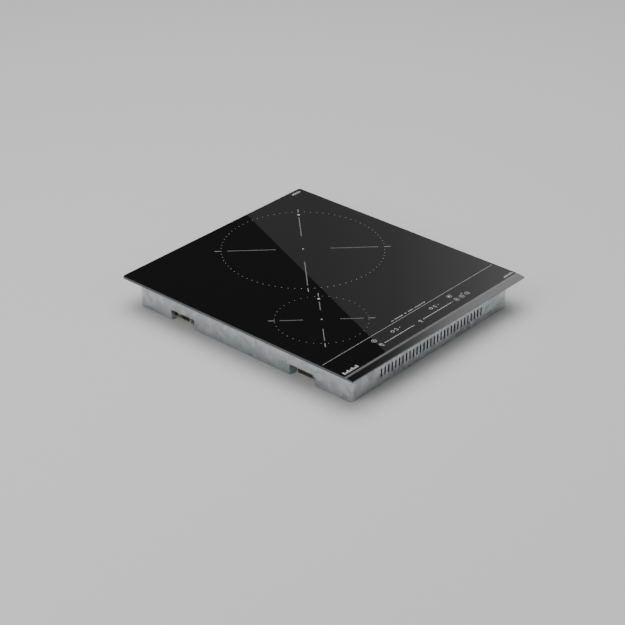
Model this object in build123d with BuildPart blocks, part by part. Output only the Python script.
"""Built-in electric induction cooktop, 450 mm wide, with two round cooking zones.

Millimetres, +Z up. The origin is the centre of the footprint at the underside of the base tray.
The cook stands on the -Y side, where the touch panel is, and +X is to the cook's right.
"""

from build123d import *
from math import cos, radians, sin
import os

os.makedirs("parts", exist_ok=True)

# ------------------------------------------------------------------ driving dimensions
glass_width = 450.0
glass_depth = 510.0
glass_thickness = 4.0
overall_height = 58.0
glass_overhang = 20.0

# glass plate
glass_back_radius = 5.0
glass_front_radius = 2.0
glass_arris = 0.5
bevel_first_width = 4.5
bevel_second_width = 13.0
bevel_first_drop = 0.45
bevel_drop = 2.3

# sheet metal casing, its seals and screws
tray_sheet = 0.8
tray_corner_radius = 8.0
tray_top_gap = 0.3
frame_sheet = 1.2
frame_leg = 15.0
frame_outer_lip = 4.0
frame_inner_lip = 8.0
frame_slip = 0.2
adhesive_thickness = 1.0
adhesive_width = 7.0
adhesive_inset = 1.5
seal_thickness = 3.0
seal_width = 8.0
seal_inset = 3.0
seal_bevel = 1.2
screw_radius = 1.5
screw_head_radius = 3.2
screw_head_height = 2.0
screw_length = 6.0
screw_play = 0.1
casing_screw_drop = 8.0
casing_screw_side_pitch = 156.0
casing_screw_end_pitch = 246.0

# pressings and openings of the base tray
pressed_depth = 2.0
pressed_radius = 6.0
label_width = 80.0
label_depth = 40.0
label_thickness = 0.4
tray_bend_radius = 2.0
vent_length = 16.0
vent_width = 3.4
vent_pitch = 9.0
vent_level = 22.0
inlet_hole_radius = 3.0
inlet_ring_pitch = 9.0

# cooking coils
large_coil_radius = 132.0
large_coil_side_inset = 155.0
large_coil_back_inset = 144.0
large_hole_radius = 29.5
large_inner_turns = 9
winding_gap_turns = 2
small_coil_radius = 72.0
small_coil_side_inset = 92.0
small_coil_front_inset = 141.0
small_hole_radius = 24.1
turn_pitch = 4.2
litz_width = 3.4
litz_height = 4.3
mica_thickness = 0.8
mica_glass_gap = 0.2
carrier_thickness = 3.2
carrier_rim = 1.6
carrier_margin = 3.0
hub_radius = 12.0
sensor_bore = 8.5
hub_floor = 1.5
hub_depth = 4.4
ferrite_thickness = 4.0
ferrite_width = 11.0
float_gap = 8.1
coil_spring_radius = 4.0
coil_spring_wire = 1.0
spring_turns = 3
spring_end_gap = 0.1
coil_plate_thickness = 1.5
coil_plate_margin = 4.0
sensor_radius = 7.5
sensor_length = 7.8
sensor_spring_radius = 5.0
sensor_spring_wire = 0.6
post_radius = 5.0
post_side_gap = 17.0
post_end_gap = 35.0
lead_radius = 1.3
lead_bend = 5.0
lead_reach = 6.0
lead_slot_width = 18.0
small_tab_inset = 16.0
small_tab_pitch = 12.0
small_lead_levels = (30.0, 24.0)
large_lead_angle = -45.0
small_lead_angle = 45.0
large_ferrites = 8
small_ferrites = 6
ferrite_inner_gap = 6.0
carrier_window_width = 14.0
carrier_window_gap = 10.0
coil_spring_inset = 24.0

# swinging worktop clamps
bay_width = 24.0
bay_length = 54.0
bay_height = 20.0
clamp_side_gap = 12.0
clamp_pivot_offset = 150.0
clamp_width = 16.0
clamp_reach = 31.0
clamp_sheet = 1.5
clamp_height = 8.0
clamp_rise = 8.0
clamp_screw_radius = 2.5
clamp_head_radius = 4.6
clamp_head_height = 3.2
clamp_play = 0.08
clamp_gap = 0.12
nut_sleeve_radius = 4.6
nut_neck_radius = 3.8
nut_flange_radius = 6.0
nut_flange_height = 1.5

# cooling fan
fan_side_gap = 34.0
fan_back_gap = 52.0
fan_height = 24.6
fan_wall = 1.8
fan_floor_gap = 1.2
scroll_radius = 50.0
outlet_width = 46.0
fan_inlet_radius = 31.0
impeller_radius = 43.0
blade_length = 11.0
blade_thickness = 0.8
blade_count = 30
impeller_wall = 1.5
impeller_floor_gap = 2.2
impeller_cover_gap = 1.8
cup_radius = 17.0
stator_radius = 14.2
shaft_radius = 1.5
bearing_play = 0.06
lug_radius = 4.5

# power electronics
board_width = 214.0
board_depth = 176.0
board_thickness = 1.6
board_height = 7.8
board_right_gap = 33.0
board_back_gap = 66.0
board_screw_inset = 7.0
board_tray_floor = 2.0
board_tray_margin = 4.0
heatsink_length = 128.0
heatsink_width = 52.0
heatsink_base = 4.0
heatsink_height = 19.0
heatsink_inset = 8.0
fin_count = 10
fin_thickness = 1.6
transistor_height = 4.6
duct_wall = 1.5
duct_gap = 2.0
duct_top_gap = 0.5
connector_width = 9.0
connector_height = 8.0
tab_width = 7.0
tab_height = 7.0
transistor_width = 16.0
transistor_depth = 21.0
transistor_pitch = 22.0
film_length = 26.0
film_width = 14.0
film_height = 22.0
film_block_side_inset = 42.0
film_block_front_inset = 49.0
can_radius = 8.0
can_height = 22.0
choke_radius = 16.0
choke_bore = 8.0
choke_height = 11.0
choke_wire = 1.4
choke_play = 0.1
choke_turns = 9
choke_front_inset = 91.0
relay_width = 19.0
relay_depth = 15.5
relay_height = 15.0
mains_pitch = 20.0

# touch panel
panel_width = 250.0
panel_depth = 32.0
panel_front_gap = 11.0
panel_board_drop = 5.4
panel_carrier_height = 3.0
pad_radius = 4.0
pad_glass_gap = 0.2
display_width = 26.0
display_depth = 9.0
display_height = 4.4
display_spots = (-58.0, 42.0)
power_key_x = -110.0
slider_starts = (-99.0, 2.0)
extra_key_x = 84.0
extra_key_pitch = 14.0
buzzer_x = -8.0
buzzer_radius = 5.5
slider_pads = 5
slider_pad_pitch = 16.0
ribbon_width = 16.0
ribbon_thickness = 0.9
ribbon_window = 12.0
ribbon_reach = 12.0
ribbon_level = 26.0
ribbon_side_inset = 62.0

# terminal box in the back wall
box_width = 100.0
box_height = 29.4
box_depth = 39.0
box_wall = 2.0
box_right_gap = 25.0
box_floor_gap = 5.3
box_proud = 1.0
box_play = 0.3
entry_width = 21.0
grommet_bore = 5.0
grommet_radius = 6.5
grommet_flange = 8.0
grommet_flange_thickness = 1.5
grommet_play = 0.05
cover_thickness = 2.0
cover_gap = 0.5
barrel_radius = 2.2
barrel_length = 6.0
barrel_gap = 0.4
hinge_pin_radius = 1.0
hinge_play = 0.06
block_width = 60.0
block_depth = 16.0
block_height = 14.0
terminal_count = 5
terminal_pitch = 11.0
block_front_gap = 6.0
finger_tab = 4.0
mains_wire_radius = 1.6
wire_level = 13.4
earth_x = 60.0
earth_level = 19.0
earth_bend = 14.0
earth_nut_gap = 1.0

# ------------------------------------------------------------------ levels and places that follow
tray_x = glass_width / 2 - glass_overhang
tray_y = glass_depth / 2 - glass_overhang
inner_x = tray_x - tray_sheet
inner_y = tray_y - tray_sheet

glass_underside = overall_height - glass_thickness
frame_top = glass_underside - adhesive_thickness
frame_underside = frame_top - frame_sheet
tray_top = frame_underside - tray_top_gap
leg_x = inner_x - frame_slip
leg_y = inner_y - frame_slip
leg_inside_x = leg_x - frame_sheet
leg_inside_y = leg_y - frame_sheet
casing_screw_level = frame_underside - casing_screw_drop

mica_top = glass_underside - mica_glass_gap
winding_top = mica_top - mica_thickness
carrier_top = winding_top - litz_height
carrier_underside = carrier_top - carrier_thickness
plate_top = carrier_underside - float_gap
plate_underside = plate_top - coil_plate_thickness

large_x = tray_x - large_coil_side_inset
large_y = tray_y - large_coil_back_inset
small_x = -tray_x + small_coil_side_inset
small_y = -tray_y + small_coil_front_inset
large_centre = (large_x, large_y)
small_centre = (small_x, small_y)

fan_x = -tray_x + fan_side_gap + scroll_radius + fan_wall
fan_y = tray_y - fan_back_gap - scroll_radius - fan_wall
fan_bottom = tray_sheet + fan_floor_gap
fan_top = fan_bottom + fan_height
cover_underside = fan_top - fan_wall
outlet_y = fan_y - scroll_radius + outlet_width / 2
outlet_face_x = fan_x + scroll_radius + fan_wall

board_x = tray_x - board_right_gap - board_width / 2
board_y = tray_y - board_back_gap - board_depth / 2
board_left = board_x - board_width / 2
board_front = board_y - board_depth / 2
board_rear = board_y + board_depth / 2
board_top = board_height + board_thickness
film_block_x = board_left + film_block_side_inset
film_block_y = board_front + film_block_front_inset
choke_y = board_front + choke_front_inset
ribbon_x = board_left + ribbon_side_inset
heatsink_x = board_left + heatsink_inset + heatsink_length / 2
heatsink_bottom = board_top + transistor_height
heatsink_top = heatsink_bottom + heatsink_height

panel_y = -tray_y + panel_front_gap + panel_depth / 2
panel_top = glass_underside - panel_board_drop
panel_underside = panel_top - board_thickness
carrier_bottom = panel_underside - panel_carrier_height

ribbon_drop_y = panel_y + panel_depth / 2 + ribbon_reach

box_x = tray_x - box_right_gap - box_width / 2
box_back = tray_y + box_proud
box_front = box_back - box_depth
box_top = box_floor_gap + box_height
box_left = box_x - box_width / 2
box_right = box_x + box_width / 2
entry_right = box_left + entry_width
hinge_y = box_back + cover_gap + cover_thickness / 2
hinge_z = box_floor_gap - barrel_gap - barrel_radius

post_x = tray_x - post_side_gap
post_y = tray_y - post_end_gap
post_spots = [(x, y) for x in (-post_x, post_x) for y in (-post_y, 0, post_y)]
bay_x = tray_x - bay_width / 2
bay_y = clamp_pivot_offset + clamp_width / 2 + 2 - bay_length / 2
bay_spots = [(x, y) for x in (-bay_x, bay_x) for y in (-bay_y, bay_y)]
clamp_x = tray_x - clamp_side_gap
clamp_spots = [(x, y) for x in (-clamp_x, clamp_x) for y in (-clamp_pivot_offset, clamp_pivot_offset)]
screw_hole = screw_radius + screw_play


# ------------------------------------------------------------------ shapes used more than once
def pan_screw(plane, shank_radius, shank_length, head_radius, head_height):
    """A cross-recess screw. The plane lies under its head and faces out of the head."""
    outward = Axis(plane.origin, plane.z_dir)
    with BuildPart() as screw:
        with BuildSketch(plane):
            Circle(head_radius)
        extrude(amount=head_height)
        chamfer(faces().sort_by(outward)[-1].edges(), head_height / 4)
        with BuildSketch(plane):
            Circle(shank_radius)
        extrude(amount=-shank_length)
        with BuildSketch(plane.offset(head_height)):
            Rectangle(head_radius, head_radius / 4)
            Rectangle(head_radius / 4, head_radius)
        extrude(amount=-head_height / 2, mode=Mode.SUBTRACT)
    return screw.part


def coil_spring(x, y, bottom, top, radius, wire, turns):
    """A round-wire compression spring between two levels."""
    low = bottom + spring_end_gap + wire / 2
    high = top - spring_end_gap - wire / 2
    with BuildPart() as spring:
        with BuildLine() as path:
            Helix((high - low) / turns, high - low, radius, center=(x, y, low))
        with BuildSketch(Plane(path.line @ 0, z_dir=path.line % 0)):
            Circle(wire / 2)
        sweep(is_frenet=True)
    return spring.part


def wire_along(points, bend, radius):
    """A round wire along straight runs joined by tangent arcs."""
    with BuildPart() as wire:
        with BuildLine() as path:
            if len(points) == 2:
                Line(*points)
            else:
                FilletPolyline(*points, radius=bend)
        with BuildSketch(Plane(path.line @ 0, z_dir=path.line % 0)):
            Circle(radius)
        sweep()
    return wire.part


def spiral_band(centre, first_radius, turns, lead_angle):
    """A flat spiral of litz wire made of half circles. Both of its ends lie on the lead line."""
    outward = Vector(1, 0).rotate(Axis.Z, lead_angle)
    with BuildPart() as band:
        with BuildSketch(Plane.XY.offset(carrier_top)):
            with BuildLine():
                for half in range(2 * turns):
                    middle = Vector(*centre) - outward * (turn_pitch / 4) * (-1) ** half
                    radius = first_radius + turn_pitch * (half / 2 + 0.25)
                    start = lead_angle + 180 * (half % 2)
                    CenterArc(middle, radius - litz_width / 2, start, 180)
                    CenterArc(middle, radius + litz_width / 2, start, 180)
                for end_radius in (first_radius, first_radius + turn_pitch * turns):
                    end = Vector(*centre) + outward * end_radius
                    Line(end - outward * litz_width / 2, end + outward * litz_width / 2)
            make_face()
        extrude(amount=litz_height)
    return band.part


# ------------------------------------------------------------------ glass, its bonded frame and its seals
with BuildPart() as glass_top:
    with BuildSketch(Plane.XY.offset(glass_underside)):
        Rectangle(glass_width, glass_depth)
        fillet(vertices().group_by(Axis.Y)[-1], glass_back_radius)
        fillet(vertices().group_by(Axis.Y)[0], glass_front_radius)
    extrude(amount=glass_thickness)
    chamfer(faces().sort_by(Axis.Z)[-1].edges(), glass_arris)
    chamfer(faces().sort_by(Axis.Z)[0].edges(), glass_arris)
    front = -glass_depth / 2
    crease = front + bevel_first_width + bevel_second_width
    with BuildSketch(Plane.YZ):
        Polygon(
            (crease, overall_height),
            (crease - bevel_first_width, overall_height - bevel_first_drop),
            (front, overall_height - bevel_drop),
            (front - 1, overall_height - bevel_drop),
            (front - 1, overall_height + 1),
            (crease, overall_height + 1),
            align=None,
        )
    extrude(amount=glass_width, both=True, mode=Mode.SUBTRACT)
glass_top.part.label = "glass_top"
export_step(glass_top.part, "parts/glass_top.step")

with BuildPart() as worktop_seal:
    with BuildSketch(Plane.XY.offset(glass_underside - seal_thickness)):
        RectangleRounded(glass_width - 2 * seal_inset, glass_depth - 2 * seal_inset, seal_inset)
    extrude(amount=seal_thickness)
    chamfer(faces().sort_by(Axis.Z)[0].edges(), seal_bevel)
    with BuildSketch(Plane.XY.offset(glass_underside - seal_thickness)):
        seal_inside = 2 * (seal_inset + seal_width)
        Rectangle(glass_width - seal_inside, glass_depth - seal_inside)
    extrude(amount=seal_thickness, mode=Mode.SUBTRACT)
worktop_seal.part.label = "worktop_seal"
export_step(worktop_seal.part, "parts/worktop_seal.step")

lip_x = tray_x + frame_outer_lip
lip_y = tray_y + frame_outer_lip
side_screw_planes = []
for sign in (-1, 1):
    for along in (-casing_screw_side_pitch / 2, casing_screw_side_pitch / 2):
        seat = (sign * tray_x, along, casing_screw_level)
        side_screw_planes.append(Plane(seat, x_dir=(0, 1, 0), z_dir=(sign, 0, 0)))
    for along in (-casing_screw_end_pitch / 2, casing_screw_end_pitch / 2):
        seat = (along, sign * tray_y, casing_screw_level)
        side_screw_planes.append(Plane(seat, x_dir=(1, 0, 0), z_dir=(0, sign, 0)))

with BuildPart() as glass_frame:
    with BuildSketch(Plane.XY.offset(frame_underside)):
        RectangleRounded(2 * lip_x, 2 * lip_y, tray_corner_radius)
        Rectangle(
            2 * (tray_x - frame_inner_lip),
            2 * (tray_y - frame_inner_lip),
            mode=Mode.SUBTRACT,
        )
    extrude(amount=frame_sheet)
    with BuildSketch(Plane.XY.offset(frame_underside)):
        leg_corner = tray_corner_radius - tray_sheet - frame_slip
        RectangleRounded(2 * leg_x, 2 * leg_y, leg_corner)
        RectangleRounded(
            2 * leg_inside_x,
            2 * leg_inside_y,
            leg_corner - frame_sheet,
            mode=Mode.SUBTRACT,
        )
    extrude(amount=-frame_leg)
    for seat in side_screw_planes:
        with BuildSketch(seat):
            Circle(screw_hole)
        extrude(amount=-screw_length, mode=Mode.SUBTRACT)
glass_frame.part.label = "glass_frame"
export_step(glass_frame.part, "parts/glass_frame.step")

with BuildPart() as glass_adhesive:
    bead_x = lip_x - adhesive_inset
    bead_y = lip_y - adhesive_inset
    with BuildSketch(Plane.XY.offset(frame_top)):
        RectangleRounded(2 * bead_x, 2 * bead_y, tray_corner_radius)
        Rectangle(
            2 * (bead_x - adhesive_width),
            2 * (bead_y - adhesive_width),
            mode=Mode.SUBTRACT,
        )
    extrude(amount=adhesive_thickness)
glass_adhesive.part.label = "glass_adhesive"
export_step(glass_adhesive.part, "parts/glass_adhesive.step")

# ------------------------------------------------------------------ base tray with its clamp bays
pressed_panels = [
    (board_x, (board_front - tray_y) / 2 + 30, 150, 50),
    (small_x + 12, small_y - 12, label_width + 20, label_depth + 20),
    (fan_x + 8, (fan_y + small_y) / 2, 100, 40),
]


def tray_block(inset):
    """The solid that the tray is pressed round, shrunk by inset on every side but the top."""
    with BuildPart() as block:
        with BuildSketch(Plane.XY.offset(inset)):
            RectangleRounded(2 * (tray_x - inset), 2 * (tray_y - inset), tray_corner_radius - inset)
        extrude(amount=tray_top)
        fillet(faces().sort_by(Axis.Z)[0].edges(), tray_bend_radius - inset)
        with BuildSketch(Plane.XY):
            with Locations(*bay_spots):
                Rectangle(bay_width + 2 * inset, bay_length + 2 * inset)
        extrude(amount=bay_height + inset, mode=Mode.SUBTRACT)
        for x, y, width, depth in pressed_panels:
            with BuildSketch(Plane.XY):
                with Locations((x, y)):
                    RectangleRounded(width + 2 * inset, depth + 2 * inset, pressed_radius + inset)
            extrude(amount=pressed_depth + inset, mode=Mode.SUBTRACT)
    return block.part


outer_block = tray_block(0)
inner_block = tray_block(tray_sheet)

with BuildPart() as base_tray:
    add(outer_block)
    add(inner_block, mode=Mode.SUBTRACT)
    with BuildSketch(Plane.XY.offset(tray_top)):
        Rectangle(2 * glass_width, 2 * glass_depth)
    extrude(amount=glass_thickness, mode=Mode.SUBTRACT)
    # air inlet under the fan
    with BuildSketch(Plane.XY):
        with Locations((fan_x, fan_y)):
            Circle(inlet_hole_radius)
            for ring in (1, 2, 3):
                with PolarLocations(ring * inlet_ring_pitch, 6 * ring):
                    Circle(inlet_hole_radius)
    extrude(amount=tray_sheet, mode=Mode.SUBTRACT)
    # air outlets in the floor, in the front wall and in the back wall
    with BuildSketch(Plane.XY):
        with Locations((large_x, -tray_y + 2 * vent_level)):
            with GridLocations(vent_pitch, vent_length + 6, 18, 2):
                SlotOverall(vent_length, vent_width, rotation=90)
    extrude(amount=tray_sheet, mode=Mode.SUBTRACT)
    with BuildSketch(Plane.XZ.offset(tray_y)):
        with Locations((0, vent_level)):
            with GridLocations(vent_pitch, 1, 30, 1):
                SlotOverall(vent_length, vent_width, rotation=90)
    extrude(amount=-tray_sheet, mode=Mode.SUBTRACT)
    with BuildSketch(Plane.XZ.offset(-tray_y)):
        with Locations((fan_x + 20, vent_level)):
            with GridLocations(vent_pitch, 1, 14, 1):
                SlotOverall(vent_length, vent_width, rotation=90)
    extrude(amount=tray_sheet, mode=Mode.SUBTRACT)
    # window for the terminal box
    with BuildSketch(Plane.XZ.offset(-tray_y)):
        with Locations((box_x, box_floor_gap + box_height / 2)):
            Rectangle(box_width + 2 * box_play, box_height + 2 * box_play)
    extrude(amount=tray_bend_radius, mode=Mode.SUBTRACT)
    # holes for the casing screws and for the clamp nuts
    for seat in side_screw_planes:
        with BuildSketch(seat):
            Circle(screw_hole)
        extrude(amount=-tray_sheet, mode=Mode.SUBTRACT)
    with BuildSketch(Plane.XZ.offset(-tray_y)):
        with Locations((earth_x, earth_level)):
            Circle(screw_hole)
    extrude(amount=tray_sheet, mode=Mode.SUBTRACT)
    with BuildSketch(Plane.XY.offset(bay_height)):
        with Locations(*clamp_spots):
            Circle(nut_neck_radius + screw_play)
    extrude(amount=tray_sheet, mode=Mode.SUBTRACT)
base_tray.part.label = "base_tray"
export_step(base_tray.part, "parts/base_tray.step")

with BuildPart() as rating_plate:
    with BuildSketch(Plane.XY.offset(pressed_depth)):
        with Locations(pressed_panels[1][:2]):
            RectangleRounded(label_width, label_depth, 3)
    extrude(amount=-label_thickness)
rating_plate.part.label = "rating_plate"
export_step(rating_plate.part, "parts/rating_plate.step")

screws = [
    pan_screw(seat, screw_radius, screw_length, screw_head_radius, screw_head_height)
    for seat in side_screw_planes
]
with BuildPart() as casing_screws:
    add(screws)
casing_screws.part.label = "casing_screws"
export_step(casing_screws.part, "parts/casing_screws.step")

# ------------------------------------------------------------------ coil plate on its posts
with BuildPart() as plate_posts:
    with BuildSketch(Plane.XY.offset(tray_sheet)):
        with Locations(*post_spots):
            RegularPolygon(post_radius, 6)
    extrude(amount=plate_underside - tray_sheet)
    with BuildSketch(Plane.XY.offset(plate_underside)):
        with Locations(*post_spots):
            Circle(screw_hole)
    extrude(amount=-screw_length - 2, mode=Mode.SUBTRACT)
plate_posts.part.label = "plate_posts"
export_step(plate_posts.part, "parts/plate_posts.step")


def turns_that_fit(coil_radius, first_radius):
    """How many whole turns of litz lie between the first radius and the coil's edge."""
    return int((coil_radius - litz_width / 2 - first_radius) / turn_pitch + 0.001)


large_outer_radius = large_hole_radius + turn_pitch * (large_inner_turns + winding_gap_turns)
large_outer_turns = turns_that_fit(large_coil_radius, large_outer_radius)
small_turns = turns_that_fit(small_coil_radius, small_hole_radius)
large_outer = (large_centre, large_outer_radius, large_outer_turns, large_lead_angle)
large_inner = (large_centre, large_hole_radius, large_inner_turns, large_lead_angle)
small_whole = (small_centre, small_hole_radius, small_turns, small_lead_angle)


def lead_slot(centre, first_radius, turns, lead_angle):
    """The radial slot that the two leads of a winding drop through."""
    outward = Vector(1, 0).rotate(Axis.Z, lead_angle)
    middle = Vector(*centre) + outward * (first_radius + turn_pitch * turns / 2)
    with BuildSketch() as slot:
        with Locations(middle):
            SlotOverall(turn_pitch * turns + lead_slot_width, lead_slot_width, rotation=lead_angle)
    return slot.sketch


slots = [lead_slot(*winding) for winding in (large_outer, large_inner, small_whole)]

with BuildPart() as coil_plate:
    with BuildSketch(Plane.XY.offset(plate_underside)):
        plate_x = leg_inside_x - coil_plate_margin
        plate_y = leg_inside_y - coil_plate_margin
        RectangleRounded(2 * plate_x, 2 * plate_y, tray_corner_radius)
        with Locations(*post_spots):
            Circle(screw_hole, mode=Mode.SUBTRACT)
        add(slots, mode=Mode.SUBTRACT)
        with Locations((ribbon_x, ribbon_drop_y)):
            Rectangle(ribbon_width + 4, ribbon_window, mode=Mode.SUBTRACT)
    extrude(amount=coil_plate_thickness)
coil_plate.part.label = "coil_plate"
export_step(coil_plate.part, "parts/coil_plate.step")

# ------------------------------------------------------------------ coils with their carriers and ferrites


def coil_carrier(centre, coil_radius, winding_radius, lead_angle, ferrites, lead_slots):
    """A round plastic carrier with a rim, a hub for the sensor, air windows and a slot for the leads."""
    window_length = coil_radius - winding_radius - 2 * carrier_window_gap
    with BuildPart() as carrier:
        with BuildSketch(Plane.XY.offset(carrier_underside)):
            with Locations(centre):
                Circle(coil_radius + carrier_margin)
                window_radius = (coil_radius + winding_radius) / 2
                for spoke in range(2, ferrites, 2):
                    with PolarLocations(window_radius, 1, lead_angle + spoke * 360 / ferrites):
                        SlotOverall(window_length, carrier_window_width, mode=Mode.SUBTRACT)
            add(lead_slots, mode=Mode.SUBTRACT)
        extrude(amount=carrier_thickness)
        with BuildSketch(Plane.XY.offset(carrier_top)):
            with Locations(centre):
                Circle(coil_radius + carrier_margin)
                Circle(coil_radius + carrier_margin - carrier_rim, mode=Mode.SUBTRACT)
        extrude(amount=litz_height)
        with BuildSketch(Plane.XY.offset(carrier_underside - hub_depth)):
            with Locations(centre):
                Circle(hub_radius)
        extrude(amount=winding_top - carrier_underside + hub_depth)
        with BuildSketch(Plane.XY.offset(carrier_underside - hub_depth + hub_floor)):
            with Locations(centre):
                Circle(sensor_bore)
        extrude(amount=winding_top, mode=Mode.SUBTRACT)
    return carrier.part


def ferrite_star(centre, coil_radius, winding_radius, lead_angle, ferrites):
    """Flat ferrite bars under a carrier, with a gap in the star at the lead line."""
    inner = winding_radius + ferrite_inner_gap
    length = coil_radius - inner
    with BuildPart() as star:
        with BuildSketch(Plane.XY.offset(carrier_underside)):
            with Locations(centre):
                with PolarLocations(inner + length / 2, ferrites, lead_angle + 180 / ferrites):
                    Rectangle(length, ferrite_width)
        extrude(amount=-ferrite_thickness)
        chamfer(edges().filter_by(Axis.Z), 1)
    return star.part


def mica_disc(centre, coil_radius):
    """The insulating disc between a winding and the glass."""
    with BuildPart() as disc:
        with BuildSketch(Plane.XY.offset(winding_top)):
            with Locations(centre):
                Circle(coil_radius + carrier_margin)
                Circle(sensor_bore, mode=Mode.SUBTRACT)
        extrude(amount=mica_thickness)
    return disc.part


large = (large_centre, large_coil_radius, large_hole_radius, large_lead_angle, large_ferrites)
small = (small_centre, small_coil_radius, small_hole_radius, small_lead_angle, small_ferrites)

coil_pieces = {
    "coil_carrier_large": coil_carrier(*large, slots[:2]),
    "winding_large_outer": spiral_band(*large_outer),
    "winding_large_inner": spiral_band(*large_inner),
    "ferrites_large": ferrite_star(*large),
    "mica_large": mica_disc(*large[:2]),
    "coil_carrier_small": coil_carrier(*small, slots[2:]),
    "winding_small": spiral_band(*small_whole),
    "ferrites_small": ferrite_star(*small),
    "mica_small": mica_disc(*small[:2]),
}
for label, solid in coil_pieces.items():
    with BuildPart() as coil_piece:
        add(solid)
    coil_piece.part.label = label
    export_step(coil_piece.part, f"parts/{label}.step")

with BuildPart() as temperature_sensors:
    with BuildSketch(Plane.XY.offset(glass_underside)):
        with Locations(large_centre, small_centre):
            Circle(sensor_radius)
    extrude(amount=-sensor_length)
    chamfer(faces().sort_by(Axis.Z)[:2].edges(), 0.8)
temperature_sensors.part.label = "temperature_sensors"
export_step(temperature_sensors.part, "parts/temperature_sensors.step")

hub_floor_top = carrier_underside - hub_depth + hub_floor
sensor_bottom = glass_underside - sensor_length
springs = [
    coil_spring(x, y, hub_floor_top, sensor_bottom, sensor_spring_radius, sensor_spring_wire, spring_turns)
    for x, y in (large_centre, small_centre)
]
with BuildPart() as sensor_springs:
    add(springs)
sensor_springs.part.label = "sensor_springs"
export_step(sensor_springs.part, "parts/sensor_springs.step")

spring_spots = []
for centre, coil_radius, _, lead_angle, ferrites in (large, small):
    for index in range(ferrites // 2):
        spoke = Vector(1, 0).rotate(Axis.Z, lead_angle + (2 * index + 1) * 360 / ferrites)
        spring_spots.append(Vector(*centre) + spoke * (coil_radius - coil_spring_inset))
springs = [
    coil_spring(at.X, at.Y, plate_top, carrier_underside, coil_spring_radius, coil_spring_wire, spring_turns)
    for at in spring_spots
]
with BuildPart() as coil_springs:
    add(springs)
coil_springs.part.label = "coil_springs"
export_step(coil_springs.part, "parts/coil_springs.step")


def lead_start(winding, outer):
    """Where a winding ends and where its lead turns down, at its outer or its inner end."""
    centre, first_radius, turns, lead_angle = winding
    outward = Vector(1, 0).rotate(Axis.Z, lead_angle)
    onward = outward.rotate(Axis.Z, 90 if outer else -90)
    level = Vector(0, 0, carrier_top + litz_height / 2)
    end = Vector(*centre) + outward * (first_radius + (turn_pitch * turns if outer else 0)) + level
    return end, end + onward * lead_reach


tab_top = board_top + tab_height
large_leads = [
    lead_start(winding, outer)
    for winding in (large_outer, large_inner)
    for outer in (True, False)
]
small_leads = [lead_start(small_whole, outer) for outer in (True, False)]
large_tabs = [(corner.X, corner.Y) for _, corner in large_leads]
small_tabs = [
    (board_left + small_tab_inset, board_front + small_tab_inset + small_tab_pitch * row)
    for row in (0, 1)
]
leads = [
    wire_along([end, corner, (corner.X, corner.Y, tab_top)], lead_bend, lead_radius)
    for end, corner in large_leads
]
for (end, corner), (x, y), level in zip(small_leads, small_tabs, small_lead_levels):
    route = [end, corner, (corner.X, corner.Y, level), (x, y, level), (x, y, tab_top)]
    leads.append(wire_along(route, [lead_bend, 2 * lead_bend, lead_bend], lead_radius))
with BuildPart() as coil_leads:
    add(leads)
coil_leads.part.label = "coil_leads"
export_step(coil_leads.part, "parts/coil_leads.step")

# ------------------------------------------------------------------ power board and what is on it
ribbon_end_y = board_front + 6.0
mains_y = board_rear - 10.0
mains_spots = [(box_x + row * mains_pitch, mains_y) for row in (-1, 0, 1)]
fan_plug = (board_left + 8.0, board_rear - 23.0)
board_screw_x = board_width / 2 - board_screw_inset
board_screw_y = board_depth / 2 - board_screw_inset
board_screws = [
    (board_x + x, board_y + y)
    for x in (-board_screw_x, board_screw_x)
    for y in (-board_screw_y, board_screw_y)
]

with BuildPart() as board_tray:
    tray_w = board_width + 2 * board_tray_margin
    tray_d = board_depth + 2 * board_tray_margin
    with BuildSketch(Plane.XY.offset(tray_sheet)):
        with Locations((board_x, board_y)):
            RectangleRounded(tray_w, tray_d, board_tray_margin)
    extrude(amount=board_height - tray_sheet)
    with BuildSketch(Plane.XY.offset(tray_sheet + board_tray_floor)):
        with Locations((board_x, board_y)):
            Rectangle(tray_w - 2 * board_tray_floor, tray_d - 2 * board_tray_floor)
        with Locations(*board_screws):
            Circle(lug_radius, mode=Mode.SUBTRACT)
    extrude(amount=board_height, mode=Mode.SUBTRACT)
    with BuildSketch(Plane.XY.offset(board_height)):
        with Locations(*board_screws):
            Circle(screw_hole)
    extrude(amount=-screw_length, mode=Mode.SUBTRACT)
board_tray.part.label = "board_tray"
export_step(board_tray.part, "parts/board_tray.step")

with BuildPart() as power_board:
    with BuildSketch(Plane.XY.offset(board_height)):
        with Locations((board_x, board_y)):
            Rectangle(board_width, board_depth)
        with Locations(*board_screws):
            Circle(screw_hole, mode=Mode.SUBTRACT)
    extrude(amount=board_thickness)
power_board.part.label = "power_board"
export_step(power_board.part, "parts/power_board.step")

with BuildPart() as heatsink:
    with BuildSketch(Plane.YZ.offset(heatsink_x - heatsink_length / 2)):
        with Locations((outlet_y, heatsink_bottom + heatsink_base / 2)):
            Rectangle(heatsink_width, heatsink_base)
        with Locations((outlet_y, heatsink_bottom + heatsink_height / 2)):
            fin_pitch = (heatsink_width - fin_thickness) / (fin_count - 1)
            with GridLocations(fin_pitch, 1, fin_count, 1):
                Rectangle(fin_thickness, heatsink_height)
    extrude(amount=heatsink_length)
heatsink.part.label = "heatsink"
export_step(heatsink.part, "parts/heatsink.step")

with BuildPart() as transistors:
    with BuildSketch(Plane.XY.offset(board_top)):
        with Locations((heatsink_x + transistor_pitch / 2, outlet_y)):
            with GridLocations(transistor_pitch, 1, 4, 1):
                Rectangle(transistor_width, transistor_depth)
    extrude(amount=transistor_height)
    chamfer(edges().filter_by(Axis.Z), 0.8)
transistors.part.label = "transistors"
export_step(transistors.part, "parts/transistors.step")

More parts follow.
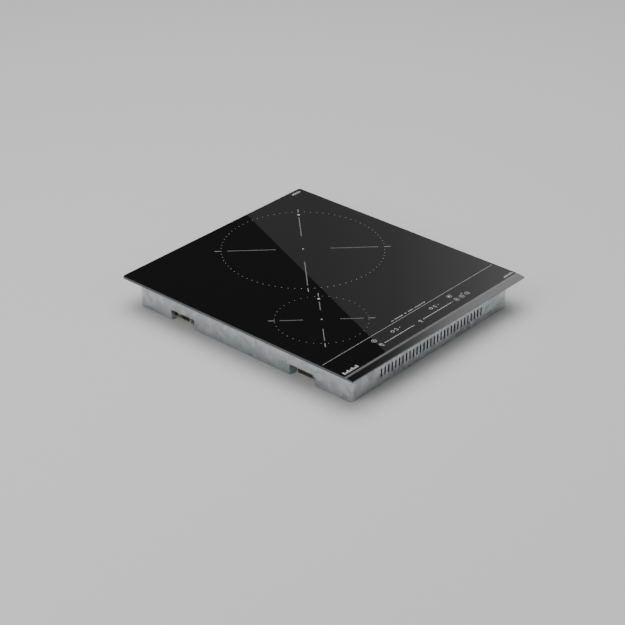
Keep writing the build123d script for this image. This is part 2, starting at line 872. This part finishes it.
with BuildPart() as bridge_rectifier:
    with BuildSketch(Plane.XY.offset(board_top)):
        with Locations((heatsink_x - 2 * transistor_pitch, outlet_y)):
            Rectangle(transistor_width, heatsink_width / 2)
    extrude(amount=transistor_height)
    chamfer(edges().filter_by(Axis.Z), 2)
bridge_rectifier.part.label = "bridge_rectifier"
export_step(bridge_rectifier.part, "parts/bridge_rectifier.step")

with BuildPart() as film_capacitors:
    with BuildSketch(Plane.XY.offset(board_top)):
        with Locations((film_block_x, film_block_y)):
            with GridLocations(film_length + 5, film_width + 5, 2, 2):
                Rectangle(film_length, film_width)
    extrude(amount=film_height)
    fillet(edges().filter_by(Axis.Z), 1)
    chamfer(faces().sort_by(Axis.Z)[-4:].edges(), 0.5)
film_capacitors.part.label = "film_capacitors"
export_step(film_capacitors.part, "parts/film_capacitors.step")

can_y = (board_rear + outlet_y + heatsink_width / 2 + duct_gap + duct_wall) / 2
with BuildPart() as electrolytic_capacitors:
    with BuildSketch(Plane.XY.offset(board_top)):
        with Locations((heatsink_x + 10, can_y)):
            with GridLocations(2 * can_radius + 4, 1, 3, 1):
                Circle(can_radius)
    extrude(amount=can_height)
    fillet(faces().sort_by(Axis.Z)[-3:].edges(), 1)
electrolytic_capacitors.part.label = "electrolytic_capacitors"
export_step(electrolytic_capacitors.part, "parts/electrolytic_capacitors.step")

choke_x = heatsink_x + heatsink_length / 2 + duct_wall + choke_radius + 8
choke_bottom = board_top + choke_wire + 2 * choke_play
choke_plane = Plane.XY.offset(choke_bottom)
with BuildPart() as filter_choke:
    with BuildSketch(choke_plane):
        with Locations((choke_x, choke_y)):
            Circle(choke_radius)
            Circle(choke_bore, mode=Mode.SUBTRACT)
    extrude(amount=choke_height)
    chamfer(faces().sort_by(Axis.Z)[-1].edges() + faces().sort_by(Axis.Z)[0].edges(), 0.8)
filter_choke.part.label = "filter_choke"
export_step(filter_choke.part, "parts/filter_choke.step")

with BuildPart() as choke_winding:
    turn_outside = choke_radius - choke_bore + 2 * (choke_wire + choke_play)
    turn_height = choke_height + 2 * (choke_wire + choke_play)
    for side in (0, 180):
        for turn in range(choke_turns):
            angle = side - 60 + 120 * turn / (choke_turns - 1)
            radial = Vector(1, 0).rotate(Axis.Z, angle)
            ring_middle = Vector(choke_x, choke_y, choke_bottom + choke_height / 2)
            ring_middle += radial * (choke_radius + choke_bore) / 2
            across = radial.rotate(Axis.Z, 90)
            with BuildSketch(Plane(ring_middle - across * choke_wire / 2, x_dir=radial, z_dir=across)):
                RectangleRounded(turn_outside, turn_height, 1.5)
                Rectangle(turn_outside - 2 * choke_wire, turn_height - 2 * choke_wire, mode=Mode.SUBTRACT)
            extrude(amount=choke_wire)
choke_winding.part.label = "choke_winding"
export_step(choke_winding.part, "parts/choke_winding.step")

with BuildPart() as relays:
    with BuildSketch(Plane.XY.offset(board_top)):
        with Locations((box_x, mains_y - 24)):
            with GridLocations(relay_width + 5, 1, 3, 1):
                Rectangle(relay_width, relay_depth)
    extrude(amount=relay_height)
    chamfer(faces().sort_by(Axis.Z)[-3:].edges(), 0.6)
relays.part.label = "relays"
export_step(relays.part, "parts/relays.step")

with BuildPart() as board_connectors:
    with BuildSketch(Plane.XY.offset(board_top)):
        with Locations(*large_tabs, *small_tabs):
            Rectangle(tab_width, tab_width)
    extrude(amount=tab_height)
    with BuildSketch(Plane.XY.offset(board_top)):
        with Locations((ribbon_x, ribbon_end_y)):
            Rectangle(ribbon_width + 4, tab_width)
        with Locations(fan_plug, *mains_spots):
            Rectangle(connector_width, connector_width)
    extrude(amount=connector_height)
board_connectors.part.label = "board_connectors"
export_step(board_connectors.part, "parts/board_connectors.step")

# ------------------------------------------------------------------ cooling fan and its duct
outlet_middle_x = (fan_x + outlet_face_x) / 2
lug_ring = scroll_radius + fan_wall + lug_radius - 1
fan_lugs = [(fan_x + lug_ring * cos(radians(a)), fan_y + lug_ring * sin(radians(a))) for a in (45, 135, 225)]
fan_lugs.append((outlet_face_x - 2 * lug_radius, outlet_y - outlet_width / 2 - fan_wall - lug_radius + 1))


def scroll_outline(wall):
    """The fan's casing seen from above: a round scroll with a straight mouth, grown by wall."""
    with BuildSketch() as outline:
        with Locations((fan_x, fan_y)):
            Circle(scroll_radius + wall)
        with Locations((outlet_middle_x, outlet_y)):
            Rectangle(outlet_face_x - fan_x, outlet_width + 2 * wall)
    return outline.sketch


scroll_inside = scroll_outline(0)
scroll_outside = scroll_outline(fan_wall)

with BuildPart() as fan_housing:
    with BuildSketch(Plane.XY.offset(fan_bottom)):
        add(scroll_outside)
    extrude(amount=cover_underside - fan_bottom)
    with BuildSketch(Plane.XY.offset(tray_sheet)):
        with Locations(*fan_lugs):
            Circle(lug_radius)
    extrude(amount=cover_underside - tray_sheet)
    with BuildSketch(Plane.XY.offset(fan_bottom + fan_wall)):
        add(scroll_inside)
    extrude(amount=fan_height, mode=Mode.SUBTRACT)
    with BuildSketch(Plane.XY):
        with Locations((fan_x, fan_y)):
            Circle(fan_inlet_radius)
    extrude(amount=fan_height / 2, mode=Mode.SUBTRACT)
    with BuildSketch(Plane.XY.offset(cover_underside)):
        with Locations(*fan_lugs):
            Circle(screw_hole)
    extrude(amount=-screw_length, mode=Mode.SUBTRACT)
fan_housing.part.label = "fan_housing"
export_step(fan_housing.part, "parts/fan_housing.step")

with BuildPart() as fan_cover:
    with BuildSketch(Plane.XY.offset(cover_underside)):
        add(scroll_outside)
        with Locations(*fan_lugs):
            Circle(lug_radius)
            Circle(screw_hole, mode=Mode.SUBTRACT)
    extrude(amount=fan_wall)
fan_cover.part.label = "fan_cover"
export_step(fan_cover.part, "parts/fan_cover.step")

blade_bottom = fan_bottom + fan_wall + impeller_floor_gap
impeller_top = cover_underside - impeller_cover_gap
cup_bottom = blade_bottom + impeller_floor_gap
shaft_top = impeller_top - impeller_wall

with BuildPart() as fan_motor:
    with BuildSketch(Plane.XY.offset(cover_underside)):
        with Locations((fan_x, fan_y)):
            Circle(stator_radius)
    extrude(amount=cup_bottom + impeller_wall + 1 - cover_underside)
    with BuildSketch(Plane.XY.offset(shaft_top + 1)):
        with Locations((fan_x, fan_y)):
            Circle(shaft_radius + bearing_play)
    extrude(amount=-fan_height, mode=Mode.SUBTRACT)
fan_motor.part.label = "fan_motor"
export_step(fan_motor.part, "parts/fan_motor.step")

with BuildPart() as fan_impeller:
    with BuildSketch(Plane.XY.offset(blade_bottom)):
        with Locations((fan_x, fan_y)):
            with PolarLocations(impeller_radius - blade_length / 2, blade_count):
                Rectangle(blade_length, blade_thickness, rotation=25)
    extrude(amount=impeller_top - blade_bottom)
    with BuildSketch(Plane.XY.offset(blade_bottom)):
        with Locations((fan_x, fan_y)):
            Circle(impeller_radius)
            Circle(impeller_radius - impeller_wall, mode=Mode.SUBTRACT)
    extrude(amount=impeller_wall)
    with BuildSketch(Plane.XY.offset(impeller_top - impeller_wall)):
        with Locations((fan_x, fan_y)):
            Circle(impeller_radius)
    extrude(amount=impeller_wall)
    with BuildSketch(Plane.XY.offset(cup_bottom)):
        with Locations((fan_x, fan_y)):
            Circle(cup_radius)
    extrude(amount=impeller_top - cup_bottom)
    with BuildSketch(Plane.XY.offset(cup_bottom + impeller_wall)):
        with Locations((fan_x, fan_y)):
            Circle(cup_radius - impeller_wall)
    extrude(amount=fan_height, mode=Mode.SUBTRACT)
    with BuildSketch(Plane.XY.offset(cup_bottom)):
        with Locations((fan_x, fan_y)):
            Circle(shaft_radius)
    extrude(amount=shaft_top - cup_bottom)
fan_impeller.part.label = "fan_impeller"
export_step(fan_impeller.part, "parts/fan_impeller.step")

duct_top = heatsink_top + duct_top_gap + duct_wall
duct_start = outlet_face_x + duct_gap
duct_end = heatsink_x + heatsink_length / 2 + duct_gap
with BuildPart() as air_duct:
    with BuildSketch(Plane.YZ.offset(duct_start)):
        duct_bottom = board_top + duct_gap / 2
        with Locations((outlet_y, (duct_top + duct_bottom) / 2)):
            Rectangle(heatsink_width + 2 * (duct_gap + duct_wall), duct_top - duct_bottom)
        with Locations((outlet_y, (duct_top + duct_bottom) / 2 - duct_wall)):
            Rectangle(heatsink_width + 2 * duct_gap, duct_top - duct_bottom, mode=Mode.SUBTRACT)
    extrude(amount=duct_end - duct_start)
air_duct.part.label = "air_duct"
export_step(air_duct.part, "parts/air_duct.step")

# ------------------------------------------------------------------ touch panel under the front of the glass
with BuildPart() as touch_board:
    with BuildSketch(Plane.XY.offset(panel_underside)):
        with Locations((0, panel_y)):
            Rectangle(panel_width, panel_depth)
    extrude(amount=board_thickness)
touch_board.part.label = "touch_board"
export_step(touch_board.part, "parts/touch_board.step")

with BuildPart() as touch_carrier:
    with BuildSketch(Plane.XY.offset(carrier_bottom)):
        with Locations((0, panel_y)):
            Rectangle(panel_width, panel_depth)
            with GridLocations(panel_width / 4, 1, 4, 1):
                Rectangle(panel_width / 4 - 8, panel_depth - 12, mode=Mode.SUBTRACT)
    extrude(amount=panel_carrier_height)
    with BuildSketch(Plane.XY.offset(carrier_bottom)):
        with Locations((0, panel_y)):
            with GridLocations(panel_width - 8, panel_depth - 6, 2, 2):
                Rectangle(6, 4)
    extrude(amount=plate_top - carrier_bottom)
touch_carrier.part.label = "touch_carrier"
export_step(touch_carrier.part, "parts/touch_carrier.step")

slider_row = panel_y - 9.5
key_row = panel_y + 6.5
pad_spots = [(key_x, key_row) for key_x in (power_key_x, -power_key_x * 0.77)]
pad_spots += [(power_key_x, slider_row)]
for slider_start in slider_starts:
    pad_spots += [(slider_start + slider_pad_pitch * pad, slider_row) for pad in range(slider_pads)]
pad_spots += [(extra_key_x + extra_key_pitch * key, slider_row) for key in range(3)]
with BuildPart() as touch_pads:
    with BuildSketch(Plane.XY.offset(panel_top)):
        with Locations(*pad_spots):
            Circle(pad_radius)
    extrude(amount=glass_underside - pad_glass_gap - panel_top)
touch_pads.part.label = "touch_pads"
export_step(touch_pads.part, "parts/touch_pads.step")

with BuildPart() as display_modules:
    with BuildSketch(Plane.XY.offset(panel_top)):
        with Locations(*[(display_x, panel_y + 3) for display_x in display_spots]):
            Rectangle(display_width, display_depth)
    extrude(amount=display_height)
display_modules.part.label = "display_modules"
export_step(display_modules.part, "parts/display_modules.step")

with BuildPart() as buzzer:
    with BuildSketch(Plane.XY.offset(panel_top)):
        with Locations((buzzer_x, panel_y + 6)):
            Circle(buzzer_radius)
    extrude(amount=display_height)
    with BuildSketch(Plane.XY.offset(panel_top + display_height)):
        with Locations((buzzer_x, panel_y + 6)):
            Circle(1)
    extrude(amount=-1, mode=Mode.SUBTRACT)
buzzer.part.label = "buzzer"
export_step(buzzer.part, "parts/buzzer.step")

ribbon_level_top = panel_underside + board_thickness / 2
with BuildPart() as ribbon_cable:
    with BuildSketch(Plane.YZ.offset(ribbon_x - ribbon_width / 2)):
        with BuildLine():
            FilletPolyline(
                (panel_y + panel_depth / 2, ribbon_level_top),
                (ribbon_drop_y, ribbon_level_top),
                (ribbon_drop_y, ribbon_level),
                (ribbon_end_y, ribbon_level),
                (ribbon_end_y, board_top + connector_height),
                radius=[ribbon_reach * 0.45, ribbon_reach * 0.45, 3.5],
            )
        trace(line_width=ribbon_thickness)
    extrude(amount=ribbon_width)
ribbon_cable.part.label = "ribbon_cable"
export_step(ribbon_cable.part, "parts/ribbon_cable.step")

# ------------------------------------------------------------------ terminal box with its hinged cover
box_middle_z = box_floor_gap + box_height / 2
wire_hole = mains_wire_radius + 0.5
block_y = box_front + box_wall + block_front_gap + block_depth / 2
block_floor = box_floor_gap + box_wall
barrel_spots = [box_right - barrel_length / 2 - 4, entry_right + barrel_length / 2 + 4]
barrel_step = barrel_length + barrel_gap
pin_low = barrel_spots[1] - barrel_length / 2
pin_high = barrel_spots[0] + barrel_length / 2
hinge_line = (hinge_y, hinge_z)

with BuildPart() as terminal_box:
    with BuildSketch(Plane.XZ.offset(-box_back)):
        with Locations((box_x, box_middle_z)):
            Rectangle(box_width, box_height)
    extrude(amount=box_depth)
    with BuildSketch(Plane.XZ.offset(-box_back)):
        with Locations((box_x, box_middle_z)):
            Rectangle(box_width - 2 * box_wall, box_height - 2 * box_wall)
    extrude(amount=box_depth - box_wall, mode=Mode.SUBTRACT)
    # fixed wall at the left end of the mouth, where the mains cord enters
    with BuildSketch(Plane.XZ.offset(-box_back)):
        with Locations(((box_left + entry_right) / 2, box_middle_z)):
            Rectangle(entry_width, box_height)
            Circle(grommet_radius + grommet_play, mode=Mode.SUBTRACT)
    extrude(amount=box_wall)
    with BuildSketch(Plane.XZ.offset(-box_front)):
        with Locations(*[(x, wire_level) for x, _ in mains_spots]):
            Circle(wire_hole)
    extrude(amount=-box_wall, mode=Mode.SUBTRACT)
    # hinge knuckles under the mouth
    for middle in barrel_spots:
        with BuildSketch(Plane.YZ.offset(middle - barrel_length / 2)):
            with Locations(hinge_line):
                Circle(barrel_radius)
            with Locations((hinge_y - barrel_radius, hinge_z)):
                Rectangle(box_proud, barrel_radius + barrel_gap + box_wall, align=(Align.MIN, Align.MIN))
            with Locations(hinge_line):
                Circle(hinge_pin_radius + hinge_play, mode=Mode.SUBTRACT)
        extrude(amount=barrel_length)
terminal_box.part.label = "terminal_box"
export_step(terminal_box.part, "parts/terminal_box.step")

with BuildPart() as terminal_cover:
    with BuildSketch(Plane.XZ.offset(-hinge_y - cover_thickness / 2)):
        with Locations(((entry_right + box_right) / 2, box_middle_z)):
            Rectangle(box_right - entry_right - 2 * cover_gap, box_height)
    extrude(amount=cover_thickness)
    fillet(edges().filter_by(Axis.Y).group_by(Axis.Z)[-1], 3)
    with BuildSketch(Plane.XZ.offset(-hinge_y - cover_thickness / 2)):
        with Locations(((entry_right + box_right) / 2, box_top - finger_tab)):
            with GridLocations(1, 2.4, 1, 3):
                Rectangle(4 * finger_tab, 1)
    extrude(amount=-0.6)
    for middle, step in zip(barrel_spots, (-barrel_step, barrel_step)):
        with BuildSketch(Plane.YZ.offset(middle + step - barrel_length / 2)):
            with Locations(hinge_line):
                Circle(barrel_radius)
                Rectangle(cover_thickness, barrel_radius + barrel_gap + 1, align=(Align.CENTER, Align.MIN))
                Circle(hinge_pin_radius + hinge_play, mode=Mode.SUBTRACT)
        extrude(amount=barrel_length)
terminal_cover.part.label = "terminal_cover"
export_step(terminal_cover.part, "parts/terminal_cover.step")

with BuildPart() as cover_hinge_pin:
    with BuildSketch(Plane.YZ.offset(pin_low)):
        with Locations(hinge_line):
            Circle(hinge_pin_radius)
    extrude(amount=pin_high - pin_low)
cover_hinge_pin.part.label = "cover_hinge_pin"
export_step(cover_hinge_pin.part, "parts/cover_hinge_pin.step")

entry_x = (box_left + entry_right) / 2
with BuildPart() as cable_grommet:
    with BuildSketch(Plane.XZ.offset(-box_back - grommet_flange_thickness)):
        with Locations((entry_x, box_middle_z)):
            Circle(grommet_flange)
    extrude(amount=grommet_flange_thickness)
    with BuildSketch(Plane.XZ.offset(-box_back)):
        with Locations((entry_x, box_middle_z)):
            Circle(grommet_radius)
    extrude(amount=box_wall)
    with BuildSketch(Plane.XZ.offset(-box_back + box_wall)):
        with Locations((entry_x, box_middle_z)):
            Circle(grommet_flange)
    extrude(amount=grommet_flange_thickness)
    with BuildSketch(Plane.XZ.offset(-box_back - grommet_flange_thickness)):
        with Locations((entry_x, box_middle_z)):
            Circle(grommet_bore)
    extrude(amount=box_wall + 2 * grommet_flange_thickness, mode=Mode.SUBTRACT)
cable_grommet.part.label = "cable_grommet"
export_step(cable_grommet.part, "parts/cable_grommet.step")

terminal_row = [terminal_pitch * (row - (terminal_count - 1) / 2) for row in range(terminal_count)]
terminal_spots = [(box_x + along, block_y) for along in terminal_row]
with BuildPart() as terminal_block:
    with BuildSketch(Plane.XY.offset(block_floor)):
        with Locations((box_x, block_y)):
            Rectangle(block_width, block_depth)
    extrude(amount=block_height)
    with BuildSketch(Plane.XY.offset(block_floor + block_height)):
        with Locations(*terminal_spots):
            Circle(screw_head_radius + screw_play)
    extrude(amount=-screw_head_height - 2, mode=Mode.SUBTRACT)
    with BuildSketch(Plane.XY.offset(block_floor + block_height - screw_head_height - 2)):
        with Locations(*terminal_spots):
            Circle(screw_hole)
    extrude(amount=-screw_length, mode=Mode.SUBTRACT)
terminal_block.part.label = "terminal_block"
export_step(terminal_block.part, "parts/terminal_block.step")

terminal_seat = block_floor + block_height - screw_head_height - 2
screws = [
    pan_screw(Plane((x, y, terminal_seat)), screw_radius, screw_length, screw_head_radius, screw_head_height)
    for x, y in terminal_spots
]
with BuildPart() as terminal_screws:
    add(screws)
terminal_screws.part.label = "terminal_screws"
export_step(terminal_screws.part, "parts/terminal_screws.step")

# ------------------------------------------------------------------ screws inside the casing
screw_seats = [(x, y, plate_top) for x, y in post_spots]
screw_seats += [(x, y, board_top) for x, y in board_screws]
screw_seats += [(x, y, fan_top) for x, y in fan_lugs]
screws = [
    pan_screw(Plane(seat), screw_radius, screw_length, screw_head_radius, screw_head_height)
    for seat in screw_seats
]
with BuildPart() as internal_screws:
    add(screws)
internal_screws.part.label = "internal_screws"
export_step(internal_screws.part, "parts/internal_screws.step")

earth_seat = Plane((earth_x, tray_y, earth_level), x_dir=(1, 0, 0), z_dir=(0, 1, 0))
screws = [pan_screw(earth_seat, screw_radius, screw_length, screw_head_radius, screw_head_height)]
with BuildPart() as earth_screw:
    add(screws)
    with BuildSketch(Plane.XZ.offset(-inner_y + earth_nut_gap)):
        with Locations((earth_x, earth_level)):
            RegularPolygon(screw_head_radius, 6)
            Circle(screw_radius - 0.2, mode=Mode.SUBTRACT)
    extrude(amount=screw_head_height)
earth_screw.part.label = "earth_screw"
export_step(earth_screw.part, "parts/earth_screw.step")

# ------------------------------------------------------------------ wiring that the casing holds
block_face = block_y - block_depth / 2
earth_turn = box_front - earth_bend
plug_face = mains_y + connector_width / 2
leads = [
    wire_along([(x, block_face, wire_level), (x, plug_face, wire_level)], 0, mains_wire_radius)
    for x, _ in mains_spots[1:]
]
earth_start = mains_spots[0][0]
leads.append(
    wire_along(
        [
            (earth_start, block_face, wire_level),
            (earth_start, earth_turn, wire_level),
            (earth_x, earth_turn, earth_level),
            (earth_x, inner_y - screw_length, earth_level),
        ],
        [0.45 * earth_bend, 0.45 * (box_back - earth_turn)],
        mains_wire_radius,
    )
)
with BuildPart() as mains_leads:
    add(leads)
mains_leads.part.label = "mains_leads"
export_step(mains_leads.part, "parts/mains_leads.step")

fan_lead_start = (fan_x + stator_radius, fan_y + stator_radius)
fan_lead_level = (fan_top + plate_underside) / 2
with BuildPart() as fan_lead:
    route = [
        (*fan_lead_start, fan_top),
        (*fan_lead_start, fan_lead_level),
        (*fan_plug, fan_lead_level),
        (*fan_plug, board_top + connector_height),
    ]
    add(wire_along(route, [2, 5], lead_radius))
fan_lead.part.label = "fan_lead"
export_step(fan_lead.part, "parts/fan_lead.step")

# ------------------------------------------------------------------ swinging worktop clamps
clamp_top = clamp_height + clamp_sheet
clamp_names = ("clamp_front_left", "clamp_back_left", "clamp_front_right", "clamp_back_right")
for label, (x, y) in zip(clamp_names, clamp_spots):
    inward = 1 if y < 0 else -1
    with BuildPart() as clamp:
        with BuildSketch(Plane.XY.offset(clamp_height)):
            with Locations((x, y)):
                Circle(clamp_width / 2)
            with Locations((x, y + inward * clamp_reach / 2)):
                Rectangle(clamp_width, clamp_reach)
            with Locations((x, y)):
                Circle(clamp_screw_radius + clamp_play, mode=Mode.SUBTRACT)
        extrude(amount=clamp_sheet)
        with BuildSketch(Plane.XY.offset(clamp_top)):
            with Locations((x, y + inward * (clamp_reach - clamp_sheet / 2))):
                Rectangle(clamp_width, clamp_sheet)
        extrude(amount=clamp_rise)
        fillet(edges().filter_by(Axis.Y).group_by(Axis.Z)[-1], 2)
    clamp.part.label = label
    export_step(clamp.part, f"parts/{label}.step")

clamp_screw_length = bay_height + tray_sheet + nut_flange_height + 1 - clamp_height + clamp_gap
screws = [
    pan_screw(
        Plane((x, y, clamp_height - clamp_gap), x_dir=(1, 0, 0), z_dir=(0, 0, -1)),
        clamp_screw_radius,
        clamp_screw_length,
        clamp_head_radius,
        clamp_head_height,
    )
    for x, y in clamp_spots
]
with BuildPart() as clamp_screws:
    add(screws)
clamp_screws.part.label = "clamp_screws"
export_step(clamp_screws.part, "parts/clamp_screws.step")

with BuildPart() as clamp_nuts:
    with BuildSketch(Plane.XY.offset(clamp_top + clamp_gap)):
        with Locations(*clamp_spots):
            Circle(nut_sleeve_radius)
    extrude(amount=bay_height - clamp_top - clamp_gap)
    with BuildSketch(Plane.XY.offset(bay_height)):
        with Locations(*clamp_spots):
            Circle(nut_neck_radius)
    extrude(amount=tray_sheet)
    with BuildSketch(Plane.XY.offset(bay_height + tray_sheet)):
        with Locations(*clamp_spots):
            RegularPolygon(nut_flange_radius, 6)
    extrude(amount=nut_flange_height)
    with BuildSketch(Plane.XY.offset(clamp_top)):
        with Locations(*clamp_spots):
            Circle(clamp_screw_radius + clamp_play)
    extrude(amount=bay_height, mode=Mode.SUBTRACT)
clamp_nuts.part.label = "clamp_nuts"
export_step(clamp_nuts.part, "parts/clamp_nuts.step")
